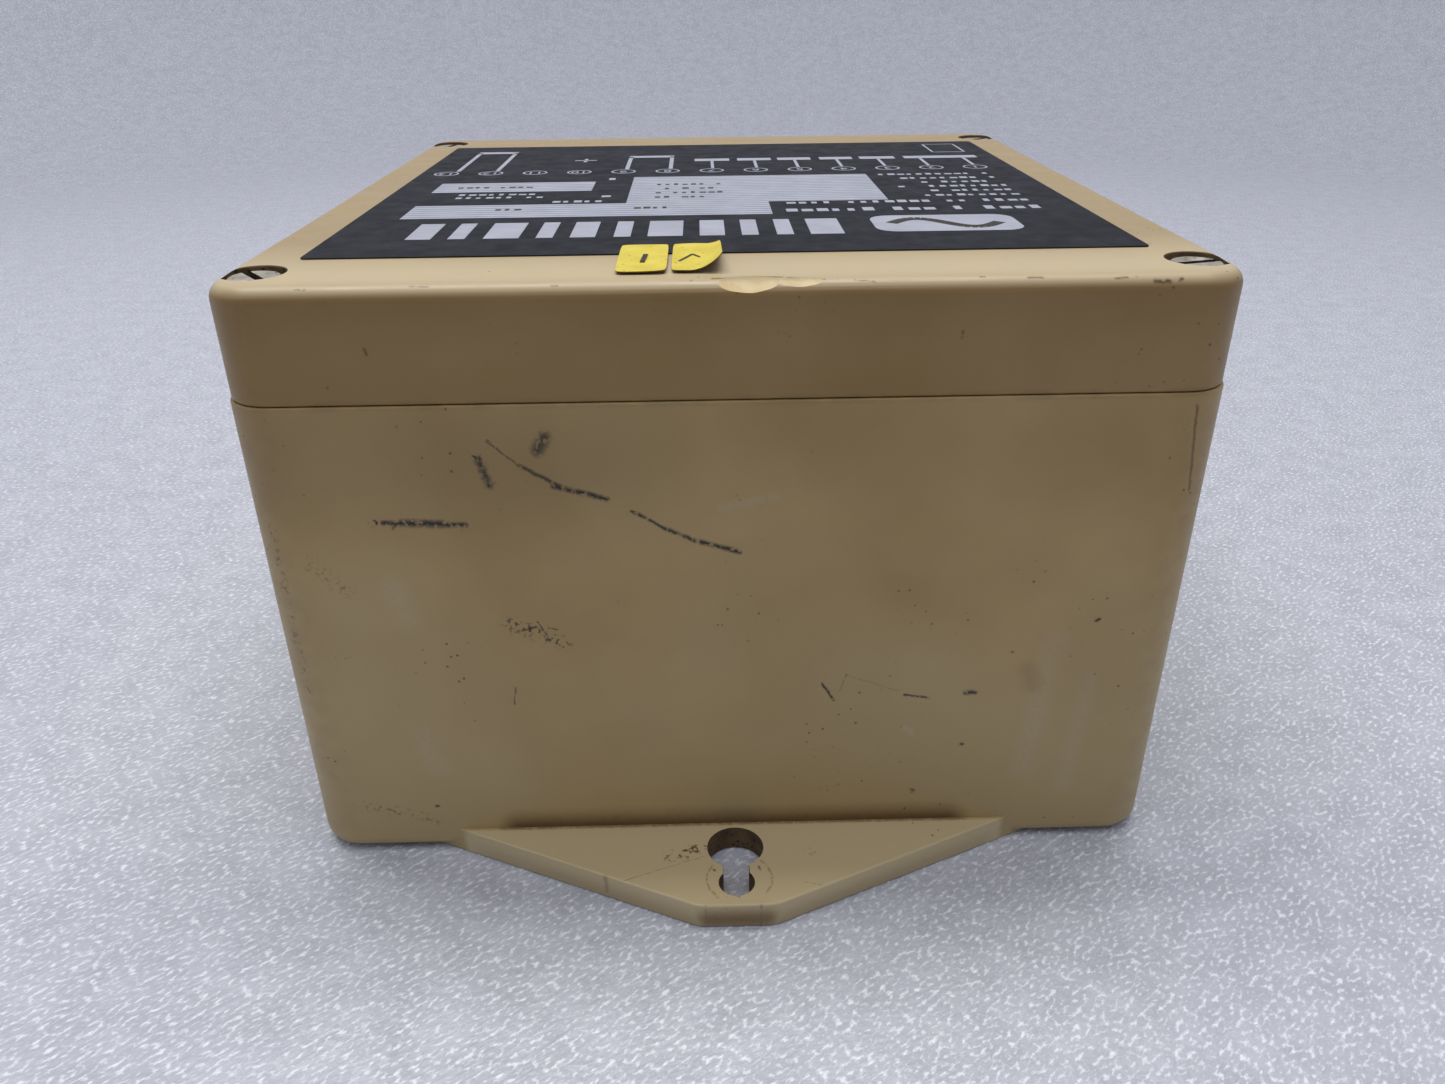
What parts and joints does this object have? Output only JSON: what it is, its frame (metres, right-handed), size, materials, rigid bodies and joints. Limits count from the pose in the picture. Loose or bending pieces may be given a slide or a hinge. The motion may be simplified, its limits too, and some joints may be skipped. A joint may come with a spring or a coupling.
{
  "type": "wall-mounting electrical power transducer",
  "caption": "Deep moulded box with a screwed shallow cover, keyhole and slotted mounting lugs, cable glands, and a circuit board with terminals inside.",
  "frame": {"origin": "centre of the flat back face that goes against the wall", "axes": "+Z out of the wall through the cover, +Y towards the cable glands, -Y towards the keyhole lug, +X to the right when seen from the keyhole end with the cover up"},
  "size_m": [0.13, 0.1746, 0.0907],
  "materials": {
    "beige_moulding": "moulded, satin, aged and scuffed",
    "grey_moulding": "moulded nylon, satin",
    "black_moulding": "moulded, satin",
    "black_rubber": "soft, matt",
    "zinc_steel": "zinc plated, dull",
    "brass": "turned",
    "label_foil": "printed film, satin",
    "yellow_paper": "printed paper, worn",
    "white_nylon": "moulded, satin",
    "circuit_laminate": "lacquered laminate",
    "lamination_steel": "varnished laminations",
    "winding_tape": "wound tape",
    "blue_sleeve": "shrink sleeve"
  },
  "bodies": {
    "base": {"base_housing": "beige_moulding", "thread_insert_front_left": "brass", "thread_insert_front_right": "brass", "thread_insert_rear_left": "brass", "thread_insert_rear_right": "brass", "gland_body_left": "grey_moulding", "gland_body_right": "grey_moulding", "gland_seal_left": "black_rubber", "gland_seal_right": "black_rubber", "gland_locknut_left": "grey_moulding", "gland_locknut_right": "grey_moulding", "main_board": "circuit_laminate", "board_screw_front_left": "zinc_steel", "board_screw_front_right": "zinc_steel", "board_screw_rear_left": "zinc_steel", "board_screw_rear_right": "zinc_steel", "terminal_block": "black_moulding", "supply_transformer_core": "lamination_steel", "supply_transformer_coil": "winding_tape", "current_transformer_core": "lamination_steel", "current_transformer_coil": "winding_tape", "voltage_transformer_core": "lamination_steel", "voltage_transformer_coil": "winding_tape", "filter_capacitor": "blue_sleeve", "output_capacitor": "blue_sleeve", "multiplier_chip": "black_moulding", "amplifier_chip": "black_moulding", "zero_trimmer_body": "blue_sleeve", "span_trimmer_body": "blue_sleeve"},
    "cover": {"cover": "beige_moulding", "cover_gasket": "black_rubber", "rating_label": "label_foil", "number_sticker_left": "yellow_paper", "number_sticker_right": "yellow_paper"},
    "washer_front_left": {"captive_washer_front_left": "white_nylon"},
    "screw_front_left": {"cover_screw_front_left": "zinc_steel"},
    "washer_front_right": {"captive_washer_front_right": "white_nylon"},
    "screw_front_right": {"cover_screw_front_right": "zinc_steel"},
    "washer_rear_left": {"captive_washer_rear_left": "white_nylon"},
    "screw_rear_left": {"cover_screw_rear_left": "zinc_steel"},
    "washer_rear_right": {"captive_washer_rear_right": "white_nylon"},
    "screw_rear_right": {"cover_screw_rear_right": "zinc_steel"},
    "gland_nut_left": {"gland_nut_left": "grey_moulding"},
    "gland_nut_right": {"gland_nut_right": "grey_moulding"},
    "terminal_screw_01": {"terminal_screw_01": "zinc_steel"},
    "terminal_screw_02": {"terminal_screw_02": "zinc_steel"},
    "terminal_screw_03": {"terminal_screw_03": "zinc_steel"},
    "terminal_screw_04": {"terminal_screw_04": "zinc_steel"},
    "terminal_screw_05": {"terminal_screw_05": "zinc_steel"},
    "terminal_screw_06": {"terminal_screw_06": "zinc_steel"},
    "terminal_screw_07": {"terminal_screw_07": "zinc_steel"},
    "terminal_screw_08": {"terminal_screw_08": "zinc_steel"},
    "terminal_screw_09": {"terminal_screw_09": "zinc_steel"},
    "terminal_screw_10": {"terminal_screw_10": "zinc_steel"},
    "terminal_screw_11": {"terminal_screw_11": "zinc_steel"},
    "terminal_screw_12": {"terminal_screw_12": "zinc_steel"},
    "terminal_screw_13": {"terminal_screw_13": "zinc_steel"},
    "zero_adjuster": {"zero_trimmer_adjuster": "white_nylon"},
    "span_adjuster": {"span_trimmer_adjuster": "white_nylon"}
  },
  "joints": [
    {"name": "cover_lift", "type": "slide", "parent": "base", "child": "cover", "axis": [0, 0, 1], "range_m": [0, 0.06]},
    {"name": "screw_front_left_travel", "type": "slide", "parent": "cover", "child": "washer_front_left", "axis": [0, 0, 1], "range_m": [0, 0.007]},
    {"name": "screw_front_left_turn", "type": "hinge", "parent": "washer_front_left", "child": "screw_front_left", "pos_m": [-0.06, -0.0612, 0.0848], "axis": [0, 0, 1], "range_deg": [0, 3610]},
    {"name": "screw_front_right_travel", "type": "slide", "parent": "cover", "child": "washer_front_right", "axis": [0, 0, 1], "range_m": [0, 0.007]},
    {"name": "screw_front_right_turn", "type": "hinge", "parent": "washer_front_right", "child": "screw_front_right", "pos_m": [0.06, -0.0612, 0.0848], "axis": [0, 0, 1], "range_deg": [0, 3610]},
    {"name": "screw_rear_left_travel", "type": "slide", "parent": "cover", "child": "washer_rear_left", "axis": [0, 0, 1], "range_m": [0, 0.007]},
    {"name": "screw_rear_left_turn", "type": "hinge", "parent": "washer_rear_left", "child": "screw_rear_left", "pos_m": [-0.06, 0.0612, 0.0848], "axis": [0, 0, 1], "range_deg": [0, 3610]},
    {"name": "screw_rear_right_travel", "type": "slide", "parent": "cover", "child": "washer_rear_right", "axis": [0, 0, 1], "range_m": [0, 0.007]},
    {"name": "screw_rear_right_turn", "type": "hinge", "parent": "washer_rear_right", "child": "screw_rear_right", "pos_m": [0.06, 0.0612, 0.0848], "axis": [0, 0, 1], "range_deg": [0, 3610]},
    {"name": "gland_nut_left_turn", "type": "hinge", "parent": "base", "child": "gland_nut_left", "pos_m": [-0.028, 0.0746, 0.04], "axis": [0, 1, 0], "range_deg": [0, 720]},
    {"name": "gland_nut_right_turn", "type": "hinge", "parent": "base", "child": "gland_nut_right", "pos_m": [0.028, 0.0746, 0.04], "axis": [0, 1, 0], "range_deg": [0, 720]},
    {"name": "terminal_screw_01_turn", "type": "hinge", "parent": "base", "child": "terminal_screw_01", "pos_m": [-0.042, 0.042, 0.0285], "axis": [0, 0, 1], "range_deg": [0, 1080]},
    {"name": "terminal_screw_02_turn", "type": "hinge", "parent": "base", "child": "terminal_screw_02", "pos_m": [-0.035, 0.042, 0.0285], "axis": [0, 0, 1], "range_deg": [0, 1080]},
    {"name": "terminal_screw_03_turn", "type": "hinge", "parent": "base", "child": "terminal_screw_03", "pos_m": [-0.028, 0.042, 0.0285], "axis": [0, 0, 1], "range_deg": [0, 1080]},
    {"name": "terminal_screw_04_turn", "type": "hinge", "parent": "base", "child": "terminal_screw_04", "pos_m": [-0.021, 0.042, 0.0285], "axis": [0, 0, 1], "range_deg": [0, 1080]},
    {"name": "terminal_screw_05_turn", "type": "hinge", "parent": "base", "child": "terminal_screw_05", "pos_m": [-0.014, 0.042, 0.0285], "axis": [0, 0, 1], "range_deg": [0, 1080]},
    {"name": "terminal_screw_06_turn", "type": "hinge", "parent": "base", "child": "terminal_screw_06", "pos_m": [-0.007, 0.042, 0.0285], "axis": [0, 0, 1], "range_deg": [0, 1080]},
    {"name": "terminal_screw_07_turn", "type": "hinge", "parent": "base", "child": "terminal_screw_07", "pos_m": [0, 0.042, 0.0285], "axis": [0, 0, 1], "range_deg": [0, 1080]},
    {"name": "terminal_screw_08_turn", "type": "hinge", "parent": "base", "child": "terminal_screw_08", "pos_m": [0.007, 0.042, 0.0285], "axis": [0, 0, 1], "range_deg": [0, 1080]},
    {"name": "terminal_screw_09_turn", "type": "hinge", "parent": "base", "child": "terminal_screw_09", "pos_m": [0.014, 0.042, 0.0285], "axis": [0, 0, 1], "range_deg": [0, 1080]},
    {"name": "terminal_screw_10_turn", "type": "hinge", "parent": "base", "child": "terminal_screw_10", "pos_m": [0.021, 0.042, 0.0285], "axis": [0, 0, 1], "range_deg": [0, 1080]},
    {"name": "terminal_screw_11_turn", "type": "hinge", "parent": "base", "child": "terminal_screw_11", "pos_m": [0.028, 0.042, 0.0285], "axis": [0, 0, 1], "range_deg": [0, 1080]},
    {"name": "terminal_screw_12_turn", "type": "hinge", "parent": "base", "child": "terminal_screw_12", "pos_m": [0.035, 0.042, 0.0285], "axis": [0, 0, 1], "range_deg": [0, 1080]},
    {"name": "terminal_screw_13_turn", "type": "hinge", "parent": "base", "child": "terminal_screw_13", "pos_m": [0.042, 0.042, 0.0285], "axis": [0, 0, 1], "range_deg": [0, 1080]},
    {"name": "zero_trimmer_turn", "type": "hinge", "parent": "base", "child": "zero_adjuster", "pos_m": [0.036, -0.04, 0.0205], "axis": [0, 0, 1], "range_deg": [-135, 135]},
    {"name": "span_trimmer_turn", "type": "hinge", "parent": "base", "child": "span_adjuster", "pos_m": [0.049, -0.031, 0.0205], "axis": [0, 0, 1], "range_deg": [-135, 135]}
  ],
  "couplings": [
    {"joint": "screw_front_left_turn", "follows": "screw_front_left_travel", "rad_per_m": 8976},
    {"joint": "screw_front_right_turn", "follows": "screw_front_right_travel", "rad_per_m": 8976},
    {"joint": "screw_rear_left_turn", "follows": "screw_rear_left_travel", "rad_per_m": 8976},
    {"joint": "screw_rear_right_turn", "follows": "screw_rear_right_travel", "rad_per_m": 8976}
  ]
}
